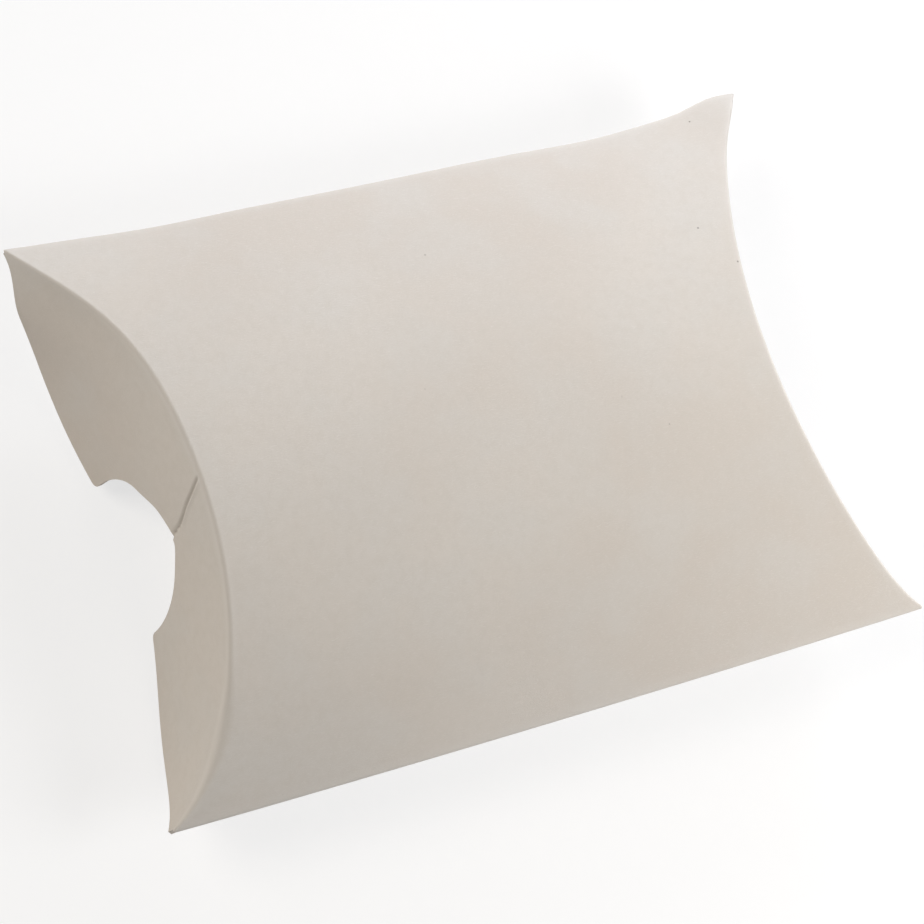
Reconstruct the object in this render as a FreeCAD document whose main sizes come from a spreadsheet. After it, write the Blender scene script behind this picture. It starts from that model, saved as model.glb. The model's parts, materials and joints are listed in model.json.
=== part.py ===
import FreeCAD, Part
import math
import os
import Sketcher
from FreeCAD import Placement, Rotation, Vector

# Pillow box: one sheet of thin card, creased, wrapped into a flat sleeve and glued down one side.
# The sleeve opens when its end flaps are pushed in along curved creases: the pull of each curved
# crease bends the top and bottom panels into shallow arches, so the closed box looks like a pillow.
#
# Frame: X runs along the sleeve from tip to tip, Y across it from side crease to side crease, Z up.
# The origin is under the middle of the box, on the flat patch that it rests on.

# Driving dimensions in millimetres and degrees: name, value, meaning.
SIZES = [
    ("length", 90.0, "from tip to tip along the sleeve"),
    ("width", 64.2, "across the closed sleeve, from side crease to side crease"),
    ("bulge", 11.0, "rise of the top panel above the side creases; the bottom panel sinks as much"),
    ("scoop", 12.0, "how far each curved crease runs in from the line through its two tips"),
    ("card", 0.45, "thickness of the card"),
    ("rest_depth", 0.12, "how much of the bottom panel's crown is pressed flat where it rests"),
    ("outer_reach", 22.0, "depth of an outer flap in its middle, crease to free edge"),
    ("outer_splay", 18.5, "angle by which an outer flap springs out from upright"),
    ("outer_start", 0.9, "from the crease line to the middle of the outer flap's own crease edge"),
    ("outer_ease", 0.8, "how much further from the crease line that edge would be at the tips"),
    ("outer_trim", 2.6, "by which each pointed end of an outer flap stops short of the side crease"),
    ("inner_reach", 16.8, "depth of an inner flap in its middle, crease to free edge"),
    ("inner_lean", 10.0, "angle by which an inner flap leans into the box from upright"),
    ("inner_start", 1.4, "from the crease line to the middle of the inner flap's own crease edge"),
    ("inner_ease", 1.2, "how much further from the crease line that edge would be at the tips"),
    ("inner_trim", 5.5, "by which each pointed end of an inner flap stops short of the side crease"),
    ("thumb_radius", 9.4, "radius of the round thumb notch in an outer flap"),
    ("thumb_depth", 11.6, "depth of the thumb notch below the whole flap's free edge"),
    ("thumb_shift", 1.5, "how far the thumb notch sits off the middle of the flap"),
    ("thumb_corner", 0.8, "rounding of the two corners of the thumb notch"),
    ("tab_reach", 9.0, "width of the glue flap, seen from above"),
    ("tab_long", 80.0, "length of the glue flap along its crease"),
    ("tab_short", 72.0, "length of the glue flap along its free edge"),
    ("tab_foot", 0.35, "how far the glue flap's foot goes down inside the bottom panel"),
    ("glue", 0.12, "thickness of the dried glue"),
    ("glue_width", 4.0, "width of the line of glue, seen from above"),
    ("glue_inset", 3.0, "from the side crease to the line of glue"),
    ("glue_long", 66.0, "length of the line of glue"),
    ("spare", 1.0, "how far a cut runs past the edge that it trims"),
]

doc = FreeCAD.newDocument("pillow_box")
sizes = doc.addObject("Spreadsheet::Sheet", "Sizes")
for row, (alias, value, meaning) in enumerate(SIZES, start=1):
    sizes.set("A%d" % row, alias)
    sizes.set("B%d" % row, str(value))
    sizes.set("C%d" % row, meaning)
    sizes.setAlias("B%d" % row, alias)
doc.recompute()


def amount(formula):
    """Number that a formula over the sheet of sizes gives."""
    return float(sizes.evalExpression(formula))


def new_body(label):
    """Empty body whose label is the name of its piece."""
    body = doc.addObject("PartDesign::Body", label)
    body.Label = label
    return body


def new_sketch(body, name, plane):
    """Sketch on one of the body's own origin planes."""
    sketch = body.newObject("Sketcher::SketchObject", name)
    planes = {feature.Role: feature for feature in body.Origin.OriginFeatures}
    sketch.AttachmentSupport = [(planes[plane], "")]
    sketch.MapMode = "FlatFace"
    return sketch


def drive(sketch, name, formula, kind, *where):
    """Constraint whose value follows a formula over the sheet of sizes."""
    index = sketch.addConstraint(Sketcher.Constraint(kind, *where, amount(formula)))
    sketch.renameConstraint(index, name)
    sketch.setExpression("Constraints." + name, formula)


def tie(sketch, kind, *where):
    """Constraint without a value, such as two ends that meet."""
    sketch.addConstraint(Sketcher.Constraint(kind, *where))


# The sketcher's numbers for the ends and the centre of a curve, and for a sketch's own axes.
START, END, CENTRE = 1, 2, 3
ORIGIN = (-1, 1)
X_AXIS, Y_AXIS = -1, -2


def line(sketch, start, end):
    """Straight line between two points given as (x, y)."""
    return sketch.addGeometry(Part.LineSegment(Vector(*start, 0), Vector(*end, 0)), False)


def arc(sketch, centre, radius, first, last):
    """Arc drawn anticlockwise from the first angle to the last, in radians."""
    circle = Part.Circle(Vector(*centre, 0), Vector(0, 0, 1), radius)
    return sketch.addGeometry(Part.ArcOfCircle(circle, first, last), False)


def join(sketch, *ends):
    """Make each pair of (curve, end) meet."""
    for first, second in zip(ends[::2], ends[1::2]):
        tie(sketch, "Coincident", *first, *second)


def box_loop(sketch, name, across, along):
    """Closed rectangle round the origin, with formulas for its size along x and along y."""
    x = amount(across) / 2
    y = amount(along) / 2
    corners = [(-x, -y), (x, -y), (x, y), (-x, y)]
    sides = [line(sketch, corners[i], corners[(i + 1) % 4]) for i in range(4)]
    for i in range(4):
        join(sketch, (sides[i], END), (sides[(i + 1) % 4], START))
        tie(sketch, "Vertical" if i % 2 else "Horizontal", sides[i])
    tie(sketch, "Symmetric", sides[0], START, sides[2], START, *ORIGIN)
    drive(sketch, name + "_across", across, "DistanceX", sides[0], START, sides[0], END)
    drive(sketch, name + "_along", along, "DistanceY", sides[1], START, sides[1], END)


def arc_radius(rise):
    """Formula for the radius of an arc that spans the sleeve's width and rises by this much."""
    return "((Sizes.width^2 / 4 + (%s)^2) / (2 * (%s)))" % (rise, rise)


def curved_sheet(body, rise, near, far, along, foot=None):
    """Sheet bent round an axis along X, as a slab between two arcs of one centre.

    The arc with no offset spans the sleeve's width at z = 0 and rises by the given amount. The slab
    lies between its offsets near and far. It stands on z = 0, or goes down below it by its foot.
    """
    radius = arc_radius(rise)
    centre = amount(rise) - amount(radius)
    sketch = new_sketch(body, body.Label + "_section", "YZ_Plane")
    arcs = []
    for name, offset in (("near", near), ("far", far)):
        size = "%s + %s" % (radius, offset)
        first = math.asin(-centre / amount(size))
        curve = arc(sketch, (0, centre), amount(size), first, math.pi - first)
        drive(sketch, name + "_radius", size, "Radius", curve)
        if foot is None:
            tie(sketch, "PointOnObject", curve, START, X_AXIS)
            tie(sketch, "PointOnObject", curve, END, X_AXIS)
        else:
            drive(sketch, name + "_foot", foot, "DistanceY", curve, START, *ORIGIN)
            tie(sketch, "Horizontal", curve, START, curve, END)
        arcs.append(curve)
    for end in (START, END):
        points = [sketch.getPoint(curve, end) for curve in arcs]
        side = line(sketch, (points[0].x, points[0].y), (points[1].x, points[1].y))
        join(sketch, (side, START), (arcs[0], end), (side, END), (arcs[1], end))
    join(sketch, (arcs[0], CENTRE), (arcs[1], CENTRE))
    tie(sketch, "PointOnObject", arcs[0], CENTRE, Y_AXIS)
    drive(sketch, "centre_depth", "%s - (%s)" % (radius, rise), "DistanceY", arcs[0], CENTRE, *ORIGIN)
    pad = body.newObject("PartDesign::Pad", body.Label + "_sheet")
    pad.Profile = sketch
    pad.SideType = "Symmetric"
    pad.setExpression("Length", along)
    doc.recompute()


def cut_through(body, sketch, name):
    """Pocket right through the body, both ways, which has to take some of it away."""
    before = body.Shape.Volume
    pocket = body.newObject("PartDesign::Pocket", body.Label + "_" + name)
    pocket.Profile = sketch
    pocket.Type = "ThroughAll"
    pocket.SideType = "Symmetric"
    doc.recompute()
    if not body.Shape.Volume < before:
        raise ValueError("%s takes nothing from %s" % (name, body.Label))


def cut_curved_ends(body):
    """Die-cut both ends of a panel back to its curved creases: two large circles, seen from above."""
    sketch = new_sketch(body, body.Label + "_ends", "XY_Plane")
    radius = arc_radius("Sizes.scoop")
    reach = "Sizes.length / 2 - Sizes.scoop + %s" % radius
    for name, side in (("left", -1), ("right", 1)):
        centre = Vector(side * amount(reach), 0, 0)
        circle = sketch.addGeometry(Part.Circle(centre, Vector(0, 0, 1), amount(radius)), False)
        tie(sketch, "PointOnObject", circle, CENTRE, X_AXIS)
        drive(sketch, name + "_radius", radius, "Radius", circle)
        nearer, further = ((circle, CENTRE), ORIGIN) if side < 0 else (ORIGIN, (circle, CENTRE))
        drive(sketch, name + "_centre", reach, "DistanceX", *nearer, *further)
    cut_through(body, sketch, "ends_cut")


def flap_outline(body, crease_rise, free_rise, start, ease, trim):
    """Trim a flap to its outline: an arc along the crease and an arc along the free edge.

    The free edge would meet the crease line at the tips, which are cut off. The edge along the
    crease starts clear of the panel, and draws away from it towards the tips, so that it can turn.
    """
    sketch = new_sketch(body, body.Label + "_outline", "XY_Plane")
    box_loop(sketch, "waste", "Sizes.length", "Sizes.width + 2 * Sizes.spare")
    blunt = "(Sizes.width / 2 - %s)" % trim
    half = amount(blunt)
    crease_radius = arc_radius("%s + %s" % (crease_rise, ease))
    free_radius = arc_radius(free_rise)
    crease_centre = "%s - %s + %s" % (crease_radius, crease_rise, start)
    free_centre = "%s - %s" % (free_radius, free_rise)
    turn = math.asin(half / amount(crease_radius))
    crease = arc(sketch, (amount(crease_centre), 0), amount(crease_radius), math.pi - turn, math.pi + turn)
    turn = math.asin(half / amount(free_radius))
    free = arc(sketch, (-amount(free_centre), 0), amount(free_radius), -turn, turn)
    for curve in (crease, free):
        tie(sketch, "PointOnObject", curve, CENTRE, X_AXIS)
    drive(sketch, "crease_radius", crease_radius, "Radius", crease)
    drive(sketch, "free_radius", free_radius, "Radius", free)
    drive(sketch, "crease_centre", crease_centre, "DistanceX", *ORIGIN, crease, CENTRE)
    drive(sketch, "free_centre", free_centre, "DistanceX", free, CENTRE, *ORIGIN)
    tips = (("far", (crease, START), (free, END)), ("near", (crease, END), (free, START)))
    for name, first, second in tips:
        points = [sketch.getPoint(*end) for end in (first, second)]
        tip = line(sketch, (points[0].x, points[0].y), (points[1].x, points[1].y))
        join(sketch, first, (tip, START), second, (tip, END))
        tie(sketch, "Horizontal", tip)
        ends = (ORIGIN, (tip, START)) if name == "far" else ((tip, START), ORIGIN)
        drive(sketch, name + "_tip", blunt, "DistanceY", *ends[0], *ends[1])
    cut_through(body, sketch, "outline_cut")


def thumb_notch(body, free_rise):
    """Round-bottomed notch in the free edge of a flap, for a thumb, with rounded corners."""
    sketch = new_sketch(body, body.Label + "_thumb", "XY_Plane")
    radius = "Sizes.thumb_radius"
    centre = "%s + Sizes.thumb_radius - Sizes.thumb_depth" % free_rise
    mouth = "%s + Sizes.spare" % free_rise
    size = amount(radius)
    middle = (amount(centre), -amount("Sizes.thumb_shift"))
    opening = amount(mouth)
    bottom = arc(sketch, middle, size, math.pi / 2, 3 * math.pi / 2)
    upper = line(sketch, (middle[0], middle[1] + size), (opening, middle[1] + size))
    front = line(sketch, (opening, middle[1] + size), (opening, middle[1] - size))
    lower = line(sketch, (opening, middle[1] - size), (middle[0], middle[1] - size))
    join(sketch, (bottom, START), (upper, START), (upper, END), (front, START))
    join(sketch, (front, END), (lower, START), (lower, END), (bottom, END))
    tie(sketch, "Horizontal", upper)
    tie(sketch, "Horizontal", lower)
    tie(sketch, "Vertical", front)
    tie(sketch, "Vertical", bottom, START, bottom, CENTRE)
    tie(sketch, "Vertical", bottom, END, bottom, CENTRE)
    drive(sketch, "radius", radius, "Radius", bottom)
    drive(sketch, "shift", "Sizes.thumb_shift", "DistanceY", bottom, CENTRE, *ORIGIN)
    drive(sketch, "centre", centre, "DistanceX", *ORIGIN, bottom, CENTRE)
    drive(sketch, "mouth", mouth, "DistanceX", *ORIGIN, front, START)
    cut_through(body, sketch, "thumb_cut")
    notched = body.Tip
    corners = []
    for number, edge in enumerate(notched.Shape.Edges, start=1):
        at_side = abs(abs(edge.CenterOfMass.y - middle[1]) - size) < amount("Sizes.card")
        if at_side and edge.Length < 2 * amount("Sizes.card") and edge.CenterOfMass.x > middle[0]:
            corners.append("Edge%d" % number)
    rounding = body.newObject("PartDesign::Fillet", body.Label + "_thumb_corners")
    rounding.Base = (notched, corners)
    rounding.setExpression("Radius", "Sizes.thumb_corner")
    doc.recompute()


def strip_outline(body, name, outer_edge, inner_edge, long, short):
    """Trim a curved sheet to a strip beside the far side crease, longer on its outer edge."""
    sketch = new_sketch(body, body.Label + "_" + name, "XY_Plane")
    box_loop(sketch, "waste", "Sizes.length + 2 * Sizes.spare", "Sizes.width + 4 * Sizes.spare")
    outer = amount(outer_edge)
    inner = amount(inner_edge)
    longer = amount(long) / 2
    shorter = amount(short) / 2
    corners = [(-longer, outer), (-shorter, inner), (shorter, inner), (longer, outer)]
    sides = [line(sketch, corners[i], corners[(i + 1) % 4]) for i in range(4)]
    for i in range(4):
        join(sketch, (sides[i], END), (sides[(i + 1) % 4], START))
    tie(sketch, "Symmetric", sides[0], START, sides[3], START, Y_AXIS)
    tie(sketch, "Symmetric", sides[1], START, sides[1], END, Y_AXIS)
    drive(sketch, "outer_edge", outer_edge, "DistanceY", *ORIGIN, sides[0], START)
    drive(sketch, "inner_edge", inner_edge, "DistanceY", *ORIGIN, sides[1], START)
    drive(sketch, "long", long, "DistanceX", sides[0], START, sides[3], START)
    drive(sketch, "short", short, "DistanceX", sides[1], START, sides[1], END)
    cut_through(body, sketch, name + "_cut")


def panel(label):
    """One arched panel between the side creases and the two curved creases, crown up."""
    body = new_body(label)
    curved_sheet(body, "Sizes.bulge", "-Sizes.card", "0", "Sizes.length")
    cut_curved_ends(body)
    return body


def press_crown_flat(body):
    """Take the crown of a panel down to the narrow flat patch that the box rests on."""
    sketch = new_sketch(body, body.Label + "_rest", "YZ_Plane")
    box_loop(sketch, "kept", "Sizes.width + Sizes.spare", "2 * (Sizes.bulge - Sizes.rest_depth)")
    box_loop(sketch, "waste", "Sizes.width + 2 * Sizes.spare", "2 * (Sizes.bulge + Sizes.spare)")
    cut_through(body, sketch, "rest_cut")


# Seen from the line through its two tips, a flap's crease lies back by one amount and its free edge
# forward by another. Both follow from the slope of the flap, because all of them share the tips.
OUTER_CREASE = "(Sizes.bulge * cos(Sizes.outer_splay) + Sizes.scoop * sin(Sizes.outer_splay))"
OUTER_RISE = "(Sizes.scoop * cos(Sizes.outer_splay) - Sizes.bulge * sin(Sizes.outer_splay))"
OUTER_FREE = "(Sizes.outer_reach - %s)" % OUTER_CREASE
INNER_CREASE = "(Sizes.bulge * cos(Sizes.inner_lean) - Sizes.scoop * sin(Sizes.inner_lean))"
INNER_RISE = "(Sizes.scoop * cos(Sizes.inner_lean) + Sizes.bulge * sin(Sizes.inner_lean))"
INNER_FREE = "(Sizes.inner_reach - %s)" % INNER_CREASE


def outer_flap(label):
    """Notched flap that hangs from the top panel and closes the end over the inner flap."""
    body = new_body(label)
    curved_sheet(body, OUTER_RISE, "0", "Sizes.card", "2 * Sizes.outer_reach")
    flap_outline(
        body, OUTER_CREASE, OUTER_FREE, "Sizes.outer_start", "Sizes.outer_ease", "Sizes.outer_trim")
    thumb_notch(body, OUTER_FREE)
    return body


def inner_flap(label):
    """Shallower flap that stands on the bottom panel and leans in behind the outer flap."""
    body = new_body(label)
    curved_sheet(body, INNER_RISE, "0", "Sizes.card", "2 * Sizes.inner_reach")
    flap_outline(
        body, INNER_CREASE, INNER_FREE, "Sizes.inner_start", "Sizes.inner_ease", "Sizes.inner_trim")
    return body


def glue_flap(label, bottom):
    """Flap along the far side crease of the bottom panel, glued up inside the top panel."""
    body = new_body(label + "_blank")
    inside = "-2 * Sizes.card - Sizes.glue"
    curved_sheet(body, "Sizes.bulge", inside, "-Sizes.card - Sizes.glue", "Sizes.length", "Sizes.tab_foot")
    edge = "Sizes.width / 2 + Sizes.spare"
    free = "Sizes.width / 2 - Sizes.tab_reach"
    strip_outline(body, "outline", edge, free, "Sizes.tab_long", "Sizes.tab_short")
    body.Placement = sleeve
    seated = doc.addObject("Part::Cut", label)
    seated.Base = body
    seated.Tool = bottom
    seated.Label = label
    return seated


def glue_line(label):
    """Thin line of dried glue between the glue flap and the inside of the top panel."""
    body = new_body(label)
    curved_sheet(body, "Sizes.bulge", "-Sizes.card - Sizes.glue", "-Sizes.card", "Sizes.length")
    edge = "Sizes.width / 2 - Sizes.glue_inset"
    free = "%s - Sizes.glue_width" % edge
    strip_outline(body, "outline", edge, free, "Sizes.glue_long", "Sizes.glue_long")
    return body


UP = Vector(0, 0, 1)
middle_height = amount("Sizes.bulge - Sizes.rest_depth")
sleeve = Placement(Vector(0, 0, middle_height), Rotation())
upside_down = Rotation(Vector(1, 0, 0), 180)
left_tips = Vector(-amount("Sizes.length") / 2, 0, middle_height)
hanging = Rotation(Vector(0, 1, 0), 90 + amount("Sizes.outer_splay"))
lean_axis = math.radians(45 - amount("Sizes.inner_lean") / 2)
standing = Rotation(Vector(math.cos(lean_axis), 0, math.sin(lean_axis)), 180)
other_end = Placement(Vector(0, 0, 0), Rotation(UP, 180))

top_panel = panel("top_panel")
top_panel.Placement = sleeve
bottom_panel = panel("bottom_panel")
press_crown_flat(bottom_panel)
bottom_panel.Placement = Placement(sleeve.Base, upside_down)

pieces = [top_panel, bottom_panel, glue_flap("glue_flap", bottom_panel)]
adhesive = glue_line("glue_line")
adhesive.Placement = sleeve
pieces.append(adhesive)

for make, kind, turn in ((outer_flap, "outer_flap", hanging), (inner_flap, "inner_flap", standing)):
    for end in ("left", "right"):
        flap = make(end + "_" + kind)
        flap.Placement = Placement(left_tips, turn)
        if end == "right":
            flap.Placement = other_end.multiply(flap.Placement)
        pieces.append(flap)

doc.recompute()
for item in doc.Objects:
    if "Invalid" in item.State or "Error" in item.State:
        raise ValueError("%s failed to recompute: %s" % (item.Label, item.State))
for piece in pieces:
    shape = piece.Shape
    if shape.isNull() or not shape.isValid() or len(shape.Solids) != 1:
        raise ValueError("%s is not one valid solid" % piece.Label)

os.makedirs("parts", exist_ok=True)
for piece in pieces:
    piece.Shape.exportStep("parts/%s.step" % piece.Label)
    box = piece.Shape.BoundBox
    print("%-18s %7.1f mm3  x %6.2f %6.2f  y %6.2f %6.2f  z %6.2f %6.2f" % (
        piece.Label, piece.Shape.Volume, box.XMin, box.XMax, box.YMin, box.YMax, box.ZMin, box.ZMax))
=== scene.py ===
# %% [markdown]
# # A pillow box of plain card
#
# A pillow box is one sheet of thin card. Two arched panels meet along two straight side creases, and
# each end is shut by two flaps that fold in along curved creases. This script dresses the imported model
# of that box: every panel and flap is made again as thin card, with the rounded folds, the cut edges
# and the small unevenness that a box gets when it is folded by hand.

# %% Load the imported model
import json
import math

import bmesh
import bpy
from mathutils import Matrix, Vector, noise


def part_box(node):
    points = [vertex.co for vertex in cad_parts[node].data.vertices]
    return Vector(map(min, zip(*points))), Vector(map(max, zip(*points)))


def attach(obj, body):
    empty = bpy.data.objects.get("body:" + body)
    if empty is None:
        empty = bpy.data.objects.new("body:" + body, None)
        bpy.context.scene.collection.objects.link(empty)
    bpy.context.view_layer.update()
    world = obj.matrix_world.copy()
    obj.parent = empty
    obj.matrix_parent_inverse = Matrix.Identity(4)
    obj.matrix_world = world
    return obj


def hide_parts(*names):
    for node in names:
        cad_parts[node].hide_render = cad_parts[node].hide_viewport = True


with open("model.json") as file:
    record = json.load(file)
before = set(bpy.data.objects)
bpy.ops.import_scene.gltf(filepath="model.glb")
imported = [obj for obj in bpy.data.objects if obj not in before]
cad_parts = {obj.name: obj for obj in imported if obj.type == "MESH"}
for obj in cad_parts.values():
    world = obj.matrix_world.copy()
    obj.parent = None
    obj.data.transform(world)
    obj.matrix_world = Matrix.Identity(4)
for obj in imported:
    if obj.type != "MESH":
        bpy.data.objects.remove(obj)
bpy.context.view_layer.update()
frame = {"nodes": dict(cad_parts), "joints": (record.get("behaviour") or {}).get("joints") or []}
print("packed model:", sorted(frame["nodes"]))

# %% [markdown]
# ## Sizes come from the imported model
#
# The panels and the joints already hold the box's length, width, bulge and card thickness. Reading
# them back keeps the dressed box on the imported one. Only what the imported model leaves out, such as
# the radius of a fold, gets a new number here.

# %% Read the driving sizes
MM = 0.001
lowest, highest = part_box("top_panel")
hinges = {joint["name"]: Vector(joint["pos_m"]) for joint in frame["joints"]}

LENGTH = highest.x - lowest.x
WIDTH = highest.y - lowest.y
MIDDLE_Z = lowest.z                                   # height of the side creases
BULGE = highest.z - lowest.z                          # rise of a panel above the side creases
CARD = highest.z - hinges["left_outer_flap_hinge"].z  # the card's thickness
SCOOP = LENGTH / 2 + hinges["left_outer_flap_hinge"].x  # how far the curved crease cuts in

print("box %.1f x %.1f x %.2f mm" % (LENGTH / MM, WIDTH / MM, highest.z / MM))
print("bulge %.1f, scoop %.1f, card %.2f mm" % (BULGE / MM, SCOOP / MM, CARD / MM))

# %% [markdown]
# ## The arch of a panel
#
# A panel is a shallow circular arch that runs straight from end to end. Where it meets the side
# crease, the card turns down over a small radius. The arch is drawn a little wider than the box, so
# that the rounded fold still ends at the box's full width.

# %% Cross-section of an arched panel
FOLD = 0.6 * MM  # outer radius of a fold in this card

# The arch's circle touches the fold's circle, whose outermost point is at the box's full width.
ARCH_RADIUS = ((WIDTH / 2 - FOLD) ** 2 + BULGE ** 2 - FOLD ** 2) / (2 * (BULGE - FOLD))
NOSE_ANGLE = math.acos((ARCH_RADIUS - BULGE) / (ARCH_RADIUS - FOLD))  # the slope where they meet
ARCH_DROP = ARCH_RADIUS - BULGE
print("arch radius %.1f mm, %.1f degrees at the side" % (ARCH_RADIUS / MM, math.degrees(NOSE_ANGLE)))


def section(turn):
    """Width and height on a panel's outer face where its slope is turn, from -90 to 90 degrees."""
    side = math.copysign(1, turn)
    if abs(turn) <= NOSE_ANGLE:
        return ARCH_RADIUS * math.sin(turn), ARCH_RADIUS * math.cos(turn) - ARCH_DROP
    return side * (WIDTH / 2 - FOLD + FOLD * math.sin(abs(turn))), FOLD * math.cos(turn)


def arch_height(y):
    """Height of the arch over the side creases, at width y. Over a side fold it stays the same."""
    y = min(abs(y), ARCH_RADIUS * math.sin(NOSE_ANGLE))
    return math.sqrt(ARCH_RADIUS ** 2 - y ** 2) - ARCH_DROP


# %% [markdown]
# ## The curved creases
#
# Each end crease lies nearly in a plane that leans over the box, so it cuts in deepest under the
# crown. In a hand-folded box it strays from that plane, most of all at the near left tip. A short
# polynomial across the box says by how much. Under the crown the bottom panel's left crease lies a
# little deeper, so from above it stays out of sight behind the thumb notch.

# %% How far a crease stands in from the end of the box
LEFT, RIGHT = -1, 1
NEAR, FAR = -1, 1
CREASE_SHAPE = {
    LEFT: (0.952, -0.071, 0.338, 0.204, -0.055, -0.691),
    RIGHT: (1.0, 0.058, -0.038),
}
LOW_SCOOP = 0.6 * MM  # how much deeper the bottom panel's left crease cuts in at the crown


def shape_across(y, shape):
    """Value of a polynomial that runs from -1 at the near side to 1 at the far side."""
    across = 2 * y / WIDTH
    return sum(factor * across ** power for power, factor in enumerate(shape))


def plane_inset(y):
    """How far a crease would cut in if it lay in its plane."""
    return arch_height(y) * SCOOP / BULGE


def crease_inset(y, end, up):
    """How far the crease really cuts in. up is 1 for the top panel and -1 for the bottom one."""
    inset = plane_inset(y) * shape_across(y, CREASE_SHAPE[end])
    if end == LEFT and up < 0:
        inset += LOW_SCOOP * (arch_height(y) / BULGE) ** 2
    return inset


# %% [markdown]
# ## A box folded by hand is a little uneven
#
# The middle sinks between the stiff ends, the whole box is slightly twisted, its sides are drawn in
# here and there, and the corners are pushed out by the flap ends inside them. One function moves every
# point of every piece, so that pieces which touch still touch afterwards.

# %% Unevenness of the whole box
SINK = 1.0 * MM         # the middle, lower than the ends
TWIST = 1.17 * MM       # opposite corners, up and down
FAR_WAIST = 0.6 * MM    # the far side, drawn in
NEAR_WAIST = 0.24 * MM  # the near side, pushed out
CORNERS = {             # how far each corner is pushed outward, sideways and up
    (LEFT, FAR): (0.0, 0.03 * MM, 0.26 * MM),
    (RIGHT, FAR): (0.30 * MM, 0.35 * MM, 0.67 * MM),
    (LEFT, NEAR): (0.15 * MM, -0.05 * MM, 0.08 * MM),
    (RIGHT, NEAR): (0.90 * MM, -0.01 * MM, 0.71 * MM),
}
FADE_ALONG = 10         # a corner's push falls off with these powers of the place along and across
FADE_ACROSS = 6
PUSHES = (              # place from above, radius, and how far the card is pushed there
    (Vector((26, 32)) * MM, 9 * MM, Vector((0, -0.48, 0)) * MM),   # two dents in the far side
    (Vector((-28, 32)) * MM, 8 * MM, Vector((0, -0.25, 0)) * MM),
    (Vector((42.6, 30.0)) * MM, 3.1 * MM, Vector((0.8, 0.75, 0)) * MM),  # the ear at the far right
    (Vector((41, 32)) * MM, 3.2 * MM, Vector((0, 0.45, 0)) * MM),
)
WAVE = 0.10 * MM        # soft waves in the card
WAVE_LENGTH = 26 * MM
OVERHANG = 1.1          # past this share of half the box, the push grows no further


def uneven(point, low_side=False):
    """Moves a point, given from the middle of the box, to where the folded card really lies.

    On the low side the crown rests on the floor, so only the side creases sink there.
    """
    along = max(-OVERHANG, min(OVERHANG, 2 * point.x / LENGTH))
    across = max(-OVERHANG, min(OVERHANG, 2 * point.y / WIDTH))
    waist = -FAR_WAIST * across if across > 0 else NEAR_WAIST * across
    sink = SINK * (across ** 2 if low_side else 1)
    moved = Vector((point.x, point.y + (1 - along ** 2) * waist, point.z))
    moved.z += -sink * (1 - along ** 2) - TWIST * along * across
    end = LEFT if along < 0 else RIGHT
    side = NEAR if across < 0 else FAR
    outward, sideways, up = CORNERS[end, side]
    near_corner = along ** FADE_ALONG * across ** FADE_ACROSS
    moved += near_corner * Vector((end * outward, side * sideways, up))
    for place, radius, push in PUSHES:
        away = (point.xy - place).length
        moved += push * math.exp(-(away / radius) ** 2)
    inside = (1 - across ** 2) * (1 - along ** 2)
    moved.z += WAVE * inside * noise.noise(point / WAVE_LENGTH)
    return moved + Vector((0, 0, MIDDLE_Z))


# %% [markdown]
# ## From a flat grid to a piece of card
#
# Every piece starts as a flat grid. Each grid point is moved to its place on the outer face of the
# card, and Solidify gives the card its thickness towards the inside. A small Bevel softens the cut
# edges. A grid keeps the faces even, so long curves stay smooth and the folds get rows of their own.
# Each point also stores how near it is to a fold, a cut edge or a groove, for the material to use.

# %% Make a piece of card
EDGE_SOFTNESS = 0.09 * MM             # how far a cut edge is rounded
SEAM_SOFTNESS = 0.02 * MM             # the same where two pieces meet in a fold
SHARP_ENOUGH = math.radians(68)       # the least angle that counts as a cut edge
finish_of = {}


def card_piece(name, columns, rows, place, flip=False, thickness=CARD, softness=EDGE_SOFTNESS):
    """place(column, row) gives a grid point's position and its marks, such as how worn it is."""
    bm = bmesh.new()
    bmesh.ops.create_grid(bm, x_segments=columns, y_segments=rows, size=0.5)
    layers = {mark: bm.verts.layers.float.new(mark) for mark in ("fold", "edge", "groove")}
    for vert in bm.verts:
        column = round((vert.co.x + 0.5) * columns)
        row = round((vert.co.y + 0.5) * rows)
        vert.co, marks = place(column, row)
        for mark, value in marks.items():
            vert[layers[mark]] = value
    if flip:
        bmesh.ops.reverse_faces(bm, faces=bm.faces)
    mesh = bpy.data.meshes.new(name)
    bm.to_mesh(mesh)
    bm.free()
    mesh.polygons.foreach_set("use_smooth", [True] * len(mesh.polygons))
    piece = bpy.data.objects.new(name, mesh)
    bpy.context.scene.collection.objects.link(piece)
    wall = piece.modifiers.new("card thickness", "SOLIDIFY")
    wall.thickness = thickness
    wall.offset = -1
    soften = piece.modifiers.new("soft cut edge", "BEVEL")
    soften.width = softness
    soften.segments = 2
    soften.limit_method = "ANGLE"
    soften.angle_limit = SHARP_ENOUGH
    soften.harden_normals = True
    print("%s: %d points" % (name, len(mesh.vertices)))
    return piece


def dress(piece, body, node, slot="card"):
    """The piece moves with that body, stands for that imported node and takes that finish."""
    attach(piece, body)
    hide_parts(node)
    finish_of[piece] = slot


def mix(a, b, share):
    return a + (b - a) * share


def smooth(value, start, stop):
    """0 before start, 1 after stop, and an even S curve between them."""
    share = max(0.0, min(1.0, (value - start) / (stop - start)))
    return share * share * (3 - 2 * share)


# %% [markdown]
# ## Top and bottom panel
#
# A panel runs from one curved crease to the other. At each end the card rolls over the crease until
# it points along the end flap, and at each side it rolls halfway round the side crease, where the
# other panel takes over. The roll belongs to the panel, so the edge of the box stays rounded when a
# flap is swung open.

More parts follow.
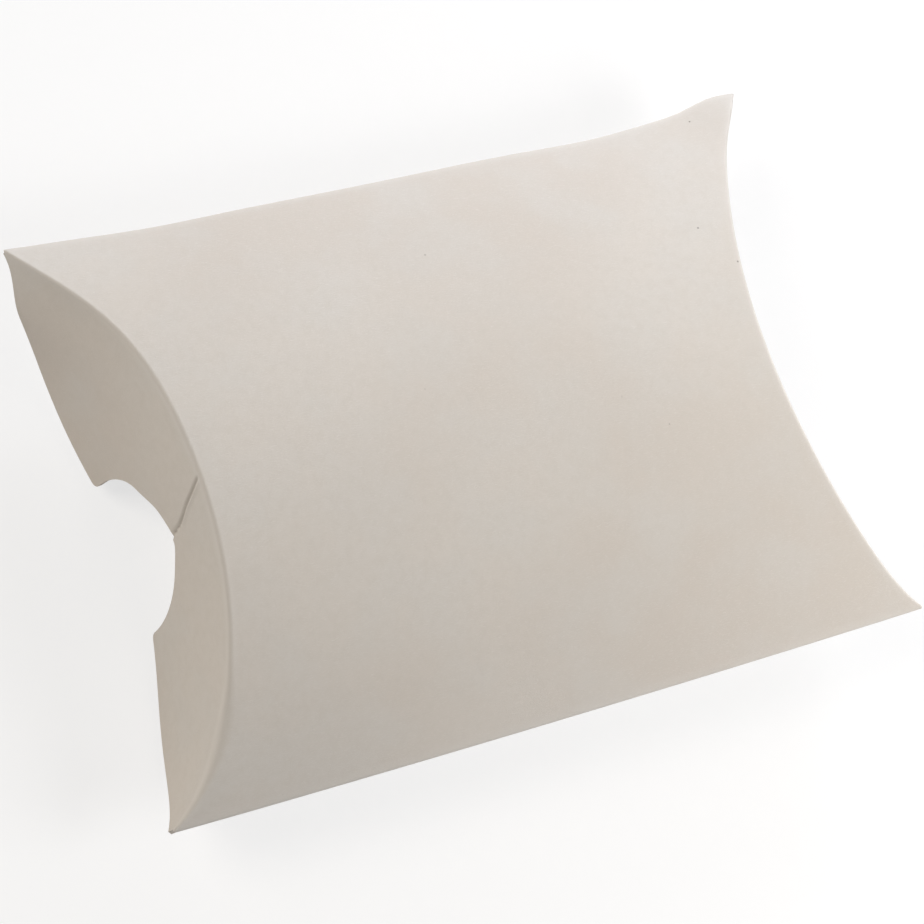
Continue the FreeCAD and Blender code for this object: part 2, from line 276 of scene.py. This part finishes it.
# %% The rounded fold along a curved crease
OUTER_SPLAY = math.radians(15.0)  # outer flap, from upright, towards the outside
INNER_LEAN = math.radians(-10.0)  # inner flap, from upright, towards the inside
TIP_FOLD = 0.35                   # share of the fold's radius that is left in the tips
FOLD_RISE = 2.5 * MM              # a rise of the arch over which the radius would grow by all of FOLD
SLACK_FOLD = 1.3 * MM             # extra radius of the left crease near its near tip
SLACK_PLACE = -24.5 * MM
SLACK_LENGTH = 5.0 * MM
FOLD_LIMIT = 0.2 * MM             # no radius is larger than this plus a share of the arch's height
LIMIT_SHARE = 0.6


def fold_radius(y, end, up):
    """A fold gets tighter in the narrow tips of the box, and one stretch of it is slack."""
    height = arch_height(y)
    radius = FOLD * min(1.0, TIP_FOLD + height / FOLD_RISE)
    if end == LEFT and up > 0:
        radius += SLACK_FOLD * math.exp(-((y - SLACK_PLACE) / SLACK_LENGTH) ** 2)
    return min(radius, FOLD_LIMIT + LIMIT_SHARE * height)


def fold_length(radius, splay):
    """Distance from the sharp crease to where its rounded fold starts or stops."""
    return radius * math.tan((math.pi / 2 - splay) / 2)


print("outer flaps splay %.0f degrees, inner ones lean in by %.0f" % (
    math.degrees(OUTER_SPLAY), -math.degrees(INNER_LEAN)))

# %% Shape a panel
PANEL_COLUMNS, PANEL_ROWS = 132, 150
ROLL_STEPS = 9        # columns that turn over a curved crease
NOSE_STEPS = 5        # rows that turn over a side crease
TIP_TURN = 0.5        # share of the turn over a curved crease that is left in the tips
FOLD_WEAR = 1.1 * MM  # how far from a fold its wear reaches


def row_turn(row):
    """The slope of the card, across the panel, at that row of the grid."""
    if row < NOSE_STEPS:
        return -mix(math.pi / 2, NOSE_ANGLE, row / NOSE_STEPS)
    if row > PANEL_ROWS - NOSE_STEPS:
        return mix(math.pi / 2, NOSE_ANGLE, (PANEL_ROWS - row) / NOSE_STEPS)
    return mix(-NOSE_ANGLE, NOSE_ANGLE, (row - NOSE_STEPS) / (PANEL_ROWS - 2 * NOSE_STEPS))


def panel(name, node, up, splay):
    """The top panel where up is 1, the bottom one where it is -1."""
    flat_columns = PANEL_COLUMNS - 2 * ROLL_STEPS

    def place(column, row):
        y, height = section(row_turn(row))
        tip_share = min(1.0, height / arch_height(y))  # under 1 only over the side folds
        turn = (math.pi / 2 - splay) * mix(TIP_TURN, 1.0, tip_share)
        left = -LENGTH / 2 + crease_inset(y, LEFT, up)
        right = LENGTH / 2 - crease_inset(y, RIGHT, up)
        left_radius, right_radius = fold_radius(y, LEFT, up), fold_radius(y, RIGHT, up)
        flat_start = left + fold_length(left_radius, splay)
        flat_stop = right - fold_length(right_radius, splay)
        drop = 0.0
        if column < ROLL_STEPS:
            turned = turn * (1 - column / ROLL_STEPS)
            x = flat_start - left_radius * math.sin(turned)
            drop = left_radius * (1 - math.cos(turned))
        elif column > PANEL_COLUMNS - ROLL_STEPS:
            turned = turn * (1 - (PANEL_COLUMNS - column) / ROLL_STEPS)
            x = flat_stop + right_radius * math.sin(turned)
            drop = right_radius * (1 - math.cos(turned))
        else:
            x = mix(flat_start, flat_stop, (column - ROLL_STEPS) / flat_columns)
        point = uneven(Vector((x, y, up * (height - drop * tip_share))), low_side=up < 0)
        point.z = max(point.z, 0.0)
        side_gap = min(y + WIDTH / 2, WIDTH / 2 - y)
        end_gap = min(x - left, right - x)
        wear = 1 - smooth(min(side_gap, end_gap), 0.0, FOLD_WEAR)
        return point, {"fold": wear}

    piece = card_piece(name, PANEL_COLUMNS, PANEL_ROWS, place, flip=up < 0, softness=SEAM_SOFTNESS)
    dress(piece, "sleeve", node)


# %% Make both panels
panel("top_panel_card", "top_panel", 1, OUTER_SPLAY)
panel("bottom_panel_card", "bottom_panel", -1, INNER_LEAN)

# %% [markdown]
# ## End flaps
#
# An end flap is a lens: one edge is the curved crease and the other, free edge mirrors it. The outer
# flap has a U-shaped thumb notch in its free edge, and in the left one the thumb has bent that notch.
# Each column of the grid runs from the crease to a point on the free edge, and those points are spread
# along the notch too, so the faces follow its round outline.

# %% Outline of a flap's free edge
OUTER_REACH = {           # length of the outer flap, as a multiple of plane_inset across the box
    LEFT: (1.625, 0.462, 1.678, -1.460, -1.350),
    RIGHT: (1.83, 0.0, 0.05),
}
INNER_REACH = 1.4         # the same for the inner flap, one value all across
NOTCH_RADIUS = 8.6 * MM
NOTCH_SHIFT = 1.9 * MM    # the notch sits off the middle of the box
NOTCH_TOP = 9.85 * MM     # from the crease to the notch's deepest point
NOTCH_BENDS = (           # place on the left notch's arc, width, and how far its edge is moved there
    (math.radians(84), math.radians(11), -0.66 * MM),
    (math.radians(127), math.radians(16), 0.68 * MM),
)
OUTER_TIP = 0.35 * MM     # how much of a flap's pointed end is cut off
INNER_TIP = 3.2 * MM
NOTCH_STEPS = 48
EDGE_STEPS = 60
CORNER_NEIGHBOURS = 2     # points on each side that round a corner of the outline


def flap_reach(y, end, outer):
    """Distance from the crease to the free edge, with the notch left out."""
    if outer:
        return plane_inset(y) * shape_across(y, OUTER_REACH[end])
    return INNER_REACH * plane_inset(y)


def free_edge(end, outer, tip):
    """Points (width, distance from the crease) along a flap's free edge."""
    last = WIDTH / 2 - tip
    middle = end * NOTCH_SHIFT
    first_stop = middle - NOTCH_RADIUS if outer else 0.0
    second_start = middle + NOTCH_RADIUS if outer else 0.0
    points = []
    for step in range(EDGE_STEPS + 1):
        y = mix(-last, first_stop, step / EDGE_STEPS)
        points.append((y, flap_reach(y, end, outer)))
    if outer:
        for step in range(NOTCH_STEPS + 1):
            angle = math.pi * step / NOTCH_STEPS
            y = middle - NOTCH_RADIUS * math.cos(angle)
            reach = NOTCH_TOP + NOTCH_RADIUS * (1 - math.sin(angle))
            if end == LEFT:
                for place, width, push in NOTCH_BENDS:
                    reach += push * math.exp(-((angle - place) / width) ** 2)
            points.append((y, reach))
    for step in range(EDGE_STEPS + 1):
        y = mix(second_start, last, step / EDGE_STEPS)
        points.append((y, flap_reach(y, end, outer)))
    return points


def spread_out(points, shares):
    """The same outline with its points at these shares of its length."""
    lengths = [0.0]
    for before, after in zip(points, points[1:]):
        lengths.append(lengths[-1] + math.dist(before, after))
    spread, part = [], 0
    for share in shares:
        wanted = lengths[-1] * share
        while part < len(points) - 2 and lengths[part + 1] < wanted:
            part += 1
        gap = lengths[part + 1] - lengths[part]
        past = (wanted - lengths[part]) / gap if gap else 0.0
        before, after = points[part], points[part + 1]
        spread.append((mix(before[0], after[0], past), mix(before[1], after[1], past)))
    return spread


def round_corners(points):
    """Averages each point with its neighbours, which rounds the corners of the notch."""
    rounded = []
    for index in range(len(points)):
        near = min(CORNER_NEIGHBOURS, index, len(points) - 1 - index)
        group = points[index - near:index + near + 1]
        rounded.append(tuple(sum(values) / len(group) for values in zip(*group)))
    return rounded


print("thumb notch %.1f mm wide, %.1f mm from the crease" % (2 * NOTCH_RADIUS / MM, NOTCH_TOP / MM))

# %% [markdown]
# ## The kink in the left outer flap
#
# A thumb has bent this flap, from its crease down to the notch. Beyond that line the card leans out a
# few degrees more. The line itself is a narrow groove with a low ridge beside it, and it wobbles, as a
# pressed line in card does. The shade in the groove is also painted into the card's colour.

# %% Shape of the kink
KINK_START = 1.7 * MM     # where the line leaves the crease
KINK_SLOPE = -0.43        # how it slants on its way to the notch
KINK_WOBBLE = 0.16 * MM   # how far it strays from a straight line, in waves with small ripples
KINK_WAVE = 1.5 * MM
KINK_RIPPLE = 0.7 * MM
RIPPLE_SHARE = 0.4
KINK_ANGLE = math.radians(4.0)
KINK_SOFTNESS = 0.25 * MM
LEAN_REACH = 9 * MM       # how far from the crease the card has taken up its full lean
GROOVE = 0.22 * MM        # depth
GROOVE_WIDTH = 0.19 * MM
GROOVE_START = 0.2 * MM   # where the line begins to show, and where it is at its full depth
GROOVE_FULL = 1.2 * MM
RIDGE = 0.09 * MM         # height
RIDGE_PLACE = -0.45 * MM  # beside the groove, on its near side
RIDGE_WIDTH = 0.25 * MM


def kink_distance(y, reach):
    """How far a point lies beyond the kink line, towards the far side."""
    ripple = math.sin(reach / KINK_RIPPLE + 1)
    wobble = math.sin(reach / KINK_WAVE) + RIPPLE_SHARE * ripple
    line = KINK_START + KINK_SLOPE * reach + KINK_WOBBLE * wobble
    return (y - line) / math.hypot(1, KINK_SLOPE)


def kink_mark(y, reach):
    """1 in the groove, 0 away from it."""
    fade = smooth(reach, GROOVE_START, GROOVE_FULL)
    return fade * math.exp(-(kink_distance(y, reach) / GROOVE_WIDTH) ** 2)


def kink_push(y, reach):
    """How far the kink moves a point out of the flap's face."""
    beyond = kink_distance(y, reach)
    soft = 0.5 * (beyond + math.sqrt(beyond ** 2 + KINK_SOFTNESS ** 2))
    lean = math.tan(KINK_ANGLE) * soft * smooth(reach, 0.0, LEAN_REACH)
    ridge = RIDGE * math.exp(-((beyond - RIDGE_PLACE) / RIDGE_WIDTH) ** 2)
    return lean + smooth(reach, GROOVE_START, GROOVE_FULL) * ridge - GROOVE * kink_mark(y, reach)


# %% Shape a flap
COLUMN_GROUPS = ((120, 0.472), (110, 0.548), (120, 1.0))  # how many columns, and where they stop
FLAP_COLUMNS = sum(count for count, stop in COLUMN_GROUPS)
FLAP_ROWS = 48
TUCK = 0.12 * MM          # how far a flap's start reaches under the rolled edge of its panel
TUCK_DEPTH = 0.01 * MM    # and how far it lies behind that edge
EDGE_WEAR = 0.5 * MM      # how far from a cut edge the rougher core shows


def column_shares():
    """Where the columns stand across a flap, from 0 to 1: closest together around the kink."""
    shares = [0.0]
    for count, stop in COLUMN_GROUPS:
        start = shares[-1]
        shares += [mix(start, stop, (step + 1) / count) for step in range(count)]
    return shares


def flap(end, outer):
    """One end flap: an outer one hangs from the top panel, an inner one stands on the bottom one."""
    node = "%s_%s_flap" % ("left" if end == LEFT else "right", "outer" if outer else "inner")
    up, splay, tip = (1, OUTER_SPLAY, OUTER_TIP) if outer else (-1, INNER_LEAN, INNER_TIP)
    kinked = outer and end == LEFT
    shares = column_shares()
    outline = spread_out(free_edge(end, outer, tip), shares)
    if outer:
        outline = round_corners(outline)
    last = WIDTH / 2 - tip
    outward = Vector((end * math.cos(splay), 0, up * math.sin(splay)))
    hang = Vector((end * math.sin(splay), 0, -up * math.cos(splay)))

    def place(column, row):
        crease_y = mix(-last, last, shares[column])
        start = fold_length(fold_radius(crease_y, end, up), splay) - TUCK
        free_y, free_reach = outline[column]
        along = row / FLAP_ROWS
        y = mix(crease_y, free_y, along)
        reach = mix(start, free_reach, along)
        x = end * (LENGTH / 2 - crease_inset(y, end, up))
        point = Vector((x, y, up * arch_height(y))) + hang * reach
        push = -TUCK_DEPTH if row == 0 else 0.0
        if kinked:
            push += kink_push(y, reach)
        point = uneven(point + outward * push, low_side=up < 0)
        wear = 1 - smooth(reach - start, 0.0, FOLD_WEAR)
        marks = {"fold": wear, "edge": 1 - smooth(free_reach - reach, 0.0, EDGE_WEAR)}
        if kinked:
            marks["groove"] = kink_mark(y, reach)
        return point, marks

    piece = card_piece(node + "_card", FLAP_COLUMNS, FLAP_ROWS, place, flip=end * up > 0)
    dress(piece, node, node)


# %% Make all four flaps
for end in (LEFT, RIGHT):
    flap(end, outer=True)
    flap(end, outer=False)

# %% [markdown]
# ## Glue flap and glue
#
# Along the far side crease a narrow flap folds up inside the top panel and is glued to it. It is seen
# only when an end is open. It follows the top panel's inner face, with slanted ends so that it goes
# in easily. The glue is squeezed out to a thin band with a wavy outline.

# %% Shape the glue flap and the line of glue
tab_low, tab_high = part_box("glue_flap")
glue_low, glue_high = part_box("glue_line")
TAB_COLUMNS, TAB_ROWS = 100, 24
TAB_START = 1.0 * MM      # from the side crease
TAB_SLANT = 4.0 * MM      # how much shorter each end is at the free edge
TAB_FOLD = 0.1            # share of its width that the fold has worn
TAB_EDGE_WEAR = 0.4 * MM
GLUE_COLUMNS, GLUE_ROWS = 120, 10
GLUE_GAP = 0.12 * MM      # thickness of the glue
GLUE_WOBBLE = 0.5 * MM    # how far its outline moves in and out
GLUE_WAVE = 3 * MM


def under_top(x, y, depth):
    """A point that far below the top panel's outer face, measured square to the card."""
    steep = math.asin(y / ARCH_RADIUS)
    radius = ARCH_RADIUS - depth
    height = radius * math.cos(steep) - ARCH_DROP
    return uneven(Vector((x, radius * math.sin(steep), height)))


def place_tab(column, row):
    inward = row / TAB_ROWS
    y = mix(WIDTH / 2 - TAB_START, tab_low.y, inward)
    half = mix(tab_high.x, tab_high.x - TAB_SLANT, inward)
    x = mix(-half, half, column / TAB_COLUMNS)
    edge_gap = min(half - abs(x), (1 - inward) * (tab_high.y - tab_low.y))
    fold = 1 - smooth(inward, 0.0, TAB_FOLD)
    edge = 1 - smooth(edge_gap, 0.0, TAB_EDGE_WEAR)
    return under_top(x, y, CARD + GLUE_GAP), {"fold": fold, "edge": edge}


def place_glue(column, row):
    x = mix(glue_low.x, glue_high.x, column / GLUE_COLUMNS)
    middle = (glue_low.y + glue_high.y) / 2
    half = (glue_high.y - glue_low.y) / 2
    half -= GLUE_WOBBLE * (0.5 + 0.5 * noise.noise(Vector((x / GLUE_WAVE, 0.5, 0.5))))
    across = 2 * row / GLUE_ROWS - 1
    return under_top(x, middle + half * across, CARD), {}


# %% Make the glue flap and the line of glue
tab = card_piece("glue_flap_card", TAB_COLUMNS, TAB_ROWS, place_tab, flip=True)
glue = card_piece("glue_line_band", GLUE_COLUMNS, GLUE_ROWS, place_glue, thickness=GLUE_GAP,
                  softness=SEAM_SOFTNESS)
dress(tab, "sleeve", "glue_flap")
dress(glue, "sleeve", "glue_line", "glue")

# %% [markdown]
# ## Shader maths as plain sums
#
# A material is a tree of nodes. A small class wraps one socket of a node, so that a sum or a product
# written in Python adds the Math node for it. A second class holds the tree and lays every other kind
# of node, with its settings and with values or wires for its sockets.

# %% A wire between nodes
class Wire:
    """One output of a node, which can be added, subtracted and multiplied like a number."""

    def __init__(self, paint, socket):
        self.paint = paint
        self.socket = socket

    def combine(self, operation, first, second):
        return self.paint.node("ShaderNodeMath", {"operation": operation}, {0: first, 1: second})

    def __add__(self, other):
        return self.combine("ADD", self, other)

    def __radd__(self, other):
        return self.combine("ADD", other, self)

    def __sub__(self, other):
        return self.combine("SUBTRACT", self, other)

    def __rsub__(self, other):
        return self.combine("SUBTRACT", other, self)

    def __mul__(self, other):
        return self.combine("MULTIPLY", self, other)

    def __rmul__(self, other):
        return self.combine("MULTIPLY", other, self)


# %% A helper that lays nodes
class Paint:
    """The nodes of one material or of the world, and the only way in which they are added."""

    def __init__(self, owner):
        owner.use_nodes = True
        self.owner = owner
        self.tree = owner.node_tree
        self.tree.nodes.clear()

    def node(self, kind, settings=None, inputs=None, output=0):
        """Adds a node with those settings and inputs, and gives a wire from one of its outputs."""
        made = self.tree.nodes.new(kind)
        for setting, value in (settings or {}).items():
            setattr(made, setting, value)
        for key, value in (inputs or {}).items():
            if isinstance(value, Wire):
                self.tree.links.new(value.socket, made.inputs[key])
            else:
                made.inputs[key].default_value = value
        return Wire(self, made.outputs[output]) if made.outputs else None

    def place(self, stretch=(1, 1, 1), turn=(0, 0, 0)):
        """Object coordinates, stretched and turned."""
        here = self.node("ShaderNodeTexCoord", output="Object")
        return self.node("ShaderNodeMapping", {}, {"Vector": here, "Scale": stretch, "Rotation": turn})

    def cloud(self, size, detail=2.0, roughness=0.5, **placing):
        """Soft noise whose blotches are about size metres across, from 0 to 1."""
        inputs = {"Vector": self.place(**placing), "Scale": 1 / size, "Detail": detail}
        inputs["Roughness"] = roughness
        return self.node("ShaderNodeTexNoise", {}, inputs)

    def ramp(self, value, start, stop):
        """0 below start, 1 above stop, with a smooth S curve between them."""
        settings = {"interpolation_type": "SMOOTHSTEP"}
        inputs = {"Value": value, "From Min": start, "From Max": stop}
        return self.node("ShaderNodeMapRange", settings, inputs)

    def stored(self, name):
        """A mark that card_piece stored on the points of the mesh, from 0 to 1."""
        return self.node("ShaderNodeAttribute", {"attribute_name": name}, output="Fac")

    def blend(self, share, first, second):
        """The first colour where share is 0, the second where it is 1."""
        settings = {"data_type": "RGBA", "clamp_factor": True}
        return self.node("ShaderNodeMix", settings, {0: share, 6: first, 7: second}, output=2)

    def cover(self, shader, kind="ShaderNodeOutputMaterial"):
        """Ends the tree with that shader, and gives back whose tree it is."""
        self.node(kind, {}, {"Surface": shader})
        return self.owner


# %% [markdown]
# ## Uncoated natural card
#
# The card is a warm off-white with no print and no coating. Seen close, it is pressed pulp: soft
# clouds a few millimetres wide, short fibres that lie in all directions, and now and then a dark
# speck. Along a fold the surface is stretched and a shade lighter, and a cut edge shows the rougher
# core. The kink's groove gets a painted shadow, darker in the colour. All of it is worked out from the
# place on the object, so it runs on over every fold.

# %% Colours and grain of the card
WHITE_CARD = (0.665, 0.625, 0.575, 1)
WARM_CARD = (0.625, 0.575, 0.520, 1)
COOL_CARD = (0.645, 0.625, 0.590, 1)
FOLD_CARD = (0.735, 0.705, 0.665, 1)
CORE_CARD = (0.600, 0.560, 0.505, 1)
# the next colour is a painted shadow for the kink's groove
PAINTED_GROOVE_SHADOW = (0.300, 0.265, 0.230, 1)
SPECK = (0.110, 0.090, 0.075, 1)

DRIFT_SIZE = 38 * MM      # slow change between whiter and warmer card
CLOUD_SIZE = 9 * MM       # greyer clouds
PULP_SIZE = 1.1 * MM      # lumps of pulp
TOOTH_SIZE = 0.22 * MM    # the finest roughness
FIBRE_SIZE = 0.5 * MM
FIBRE_TURNS = (0.3, 1.35, 2.4)
SPECK_SPACING = 4.5 * MM
SPECK_CLOUD = 6 * MM      # specks come only inside these
RELIEF = 0.05 * MM        # how deep the grain is


def fibres(paint, turn):
    """Thin streaks in one direction, from a noise that is finer along two axes than along the first."""
    streak = paint.cloud(FIBRE_SIZE, detail=3.0, roughness=0.6, stretch=(1, 7, 3), turn=turn)
    return paint.ramp(streak, 0.56, 0.70)


def specks(paint, tooth):
    """Dark dots with ragged outlines, in a few patches of the card only."""
    dots = paint.node("ShaderNodeTexVoronoi", {"feature": "F1"},
                      {"Vector": paint.place(), "Scale": 1 / SPECK_SPACING, "Randomness": 1.0})
    ragged = dots + 0.02 * tooth
    rare = paint.ramp(paint.cloud(SPECK_CLOUD, detail=0.0), 0.54, 0.66)
    return (1 - paint.ramp(ragged, 0.020, 0.050)) * rare


# %% Paint the card
def card_material():
    paint = Paint(bpy.data.materials.new("natural_card"))
    clouds = paint.cloud(CLOUD_SIZE, detail=3.0)
    drift = paint.cloud(DRIFT_SIZE, detail=1.0)
    pulp = paint.cloud(PULP_SIZE, detail=4.0, roughness=0.65)
    tooth = paint.cloud(TOOTH_SIZE, detail=2.0, roughness=0.6)
    strands = sum(fibres(paint, (0.2, 0.1, turn)) for turn in FIBRE_TURNS)
    dark_specks = specks(paint, tooth)

    fold = paint.stored("fold")
    edge = paint.stored("edge")
    shade = paint.blend(paint.ramp(drift, 0.35, 0.65), WHITE_CARD, WARM_CARD)
    shade = paint.blend(paint.ramp(clouds, 0.35, 0.7) * 0.5, shade, COOL_CARD)
    shade = paint.blend(paint.ramp(pulp, 0.35, 0.75) * 0.34, shade, CORE_CARD)
    shade = paint.blend(strands * 0.30, shade, FOLD_CARD)
    worn = fold * (0.10 + 0.40 * pulp)
    shade = paint.blend(worn, shade, FOLD_CARD)
    shade = paint.blend(edge * 0.35, shade, CORE_CARD)
    # painted shadow: the kink's groove is darkened in the colour, for the shade that falls into it
    shade = paint.blend(paint.stored("groove") * 0.55, shade, PAINTED_GROOVE_SHADOW)
    shade = paint.blend(dark_specks * 0.75, shade, SPECK)

    roughness = 0.80 + 0.12 * pulp - 0.10 * fold
    height = 0.5 * pulp + 0.35 * tooth + 0.25 * strands + edge * tooth
    bump = paint.node("ShaderNodeBump", {}, {"Height": height, "Strength": 0.6, "Distance": RELIEF})
    surface = {"Base Color": shade, "Roughness": roughness, "Normal": bump, "Specular IOR Level": 0.3}
    return paint.cover(paint.node("ShaderNodeBsdfPrincipled", {}, surface))


# %% [markdown]
# ## Dried white glue
#
# White glue dries nearly clear and slightly yellow, with a smooth skin that is shinier than card.

# %% Paint the glue
THIN_GLUE = (0.74, 0.71, 0.62, 1)
THICK_GLUE = (0.60, 0.55, 0.44, 1)
GLUE_LUMP = 2.5 * MM


def glue_material():
    paint = Paint(bpy.data.materials.new("dried_glue"))
    thick = paint.cloud(GLUE_LUMP, detail=2.0)
    shade = paint.blend(thick, THIN_GLUE, THICK_GLUE)
    bump = paint.node("ShaderNodeBump", {}, {"Height": thick, "Strength": 0.4, "Distance": RELIEF})
    surface = {"Base Color": shade, "Roughness": 0.25 + 0.2 * thick, "Normal": bump}
    return paint.cover(paint.node("ShaderNodeBsdfPrincipled", {}, surface))


# %% Give every piece its material
FINISHES = {"card": card_material(), "glue": glue_material()}
for piece, slot in finish_of.items():
    piece.data.materials.append(FINISHES[slot])
print("finishes:", {slot: made.name for slot, made in FINISHES.items()})

# %% [markdown]
# ## Floor, light and camera
#
# The box lies on a plain white floor. Two soft lamps stand close by, beyond the right end and the far
# side, so the panel is brightest there and gets darker towards the near left tip. A third, farther
# lamp on the left lights the end flap, and a little light comes evenly from all around. The camera
# stands where the photograph was taken, above the left end, and is turned about its own axis.

# %% Lay the floor
FLOOR_SIZE = 3.0
FLOOR_WHITENESS = 0.7     # how much of the floor looks plain white, the rest shows light and shadow
FLOOR_SHADES = (0.93, 0.93, 0.93, 1), (0.96, 0.96, 0.96, 1)
FLOOR_GRAIN = 3 * MM
WHITE = (1, 1, 1, 1)


def floor_material():
    paint = Paint(bpy.data.materials.new("white_floor"))
    grain = paint.cloud(FLOOR_GRAIN, detail=2.0)
    shade = paint.blend(grain, *FLOOR_SHADES)
    matt = paint.node("ShaderNodeBsdfDiffuse", {}, {"Color": shade})
    glow = paint.node("ShaderNodeEmission", {}, {"Color": WHITE, "Strength": 1.0})
    rays = paint.node("ShaderNodeLightPath", output="Is Camera Ray")
    share = rays * FLOOR_WHITENESS
    return paint.cover(paint.node("ShaderNodeMixShader", {}, {0: share, 1: matt, 2: glow}))


bpy.ops.mesh.primitive_grid_add(x_subdivisions=4, y_subdivisions=4, size=FLOOR_SIZE)
floor = bpy.context.object
floor.name = "floor"
floor.data.materials.append(floor_material())
print("floor %.0f m wide" % FLOOR_SIZE)

# %% Hang the lamps
MIDDLE = Vector((0, 0, MIDDLE_Z))
LAMP_WIDTH = 0.5          # as a share of the lamp's distance


def lamp(name, distance, around, up, brightness, color):
    """A square lamp, seen from the box at those angles: around from +X towards +Y, and up.

    Its brightness is the share of full white that it gives a white card held square to it.
    """
    around, up = math.radians(around), math.radians(up)
    flat = distance * math.cos(up)
    data = bpy.data.lights.new(name, "AREA")
    data.size = LAMP_WIDTH * distance
    data.color = color
    data.energy = brightness * (math.pi * distance) ** 2
    light = bpy.data.objects.new(name, data)
    away = Vector((flat * math.cos(around), flat * math.sin(around), distance * math.sin(up)))
    light.location = MIDDLE + away
    light.rotation_euler = (-away).to_track_quat("-Z", "Y").to_euler()
    bpy.context.scene.collection.objects.link(light)
    print("%s: %.2f m away" % (name, distance))


lamp("near_right_lamp", 0.22, -34, 37, 0.75, (1.01, 0.995, 0.985))
lamp("far_lamp", 0.3, 60, 15, 0.71, (0.95, 0.99, 1.08))
lamp("left_lamp", 1.0, 150, 40, 0.54, (1.06, 0.99, 0.905))

# %% Light the room evenly
SKY = 0.08                # light from all around, where 1 would look white


def room(world):
    """White to the camera, and only as bright as SKY to the box."""
    paint = Paint(world)
    seen = paint.node("ShaderNodeLightPath", output="Is Camera Ray")
    strength = paint.node("ShaderNodeMapRange", {}, {"Value": seen, "To Min": SKY, "To Max": 1.0})
    light = paint.node("ShaderNodeBackground", {}, {"Color": WHITE, "Strength": strength})
    return paint.cover(light, "ShaderNodeOutputWorld")


bpy.context.scene.world = room(bpy.data.worlds.new("studio"))
bpy.context.scene.view_settings.view_transform = "Standard"

# %% Set up the camera
CAMERA_PLACE = Vector((-0.1004, -0.0462, 0.2769))
CAMERA_AIM = Vector((-0.0019, -0.0021, MIDDLE_Z))
CAMERA_ROLL = math.radians(49.78)
LENS = 101.3              # both in millimetres
SENSOR = 36

eye = bpy.data.cameras.new("camera")
eye.lens = LENS
eye.sensor_width = SENSOR
eye.clip_start = 10 * MM
camera = bpy.data.objects.new("camera", eye)
level = (CAMERA_AIM - CAMERA_PLACE).to_track_quat("-Z", "Y").to_matrix().to_4x4()
camera.matrix_world = Matrix.Translation(CAMERA_PLACE) @ level @ Matrix.Rotation(CAMERA_ROLL, 4, "Z")
bpy.context.scene.collection.objects.link(camera)
bpy.context.scene.camera = camera
print("camera %.0f mm from the box" % ((CAMERA_AIM - CAMERA_PLACE).length / MM))
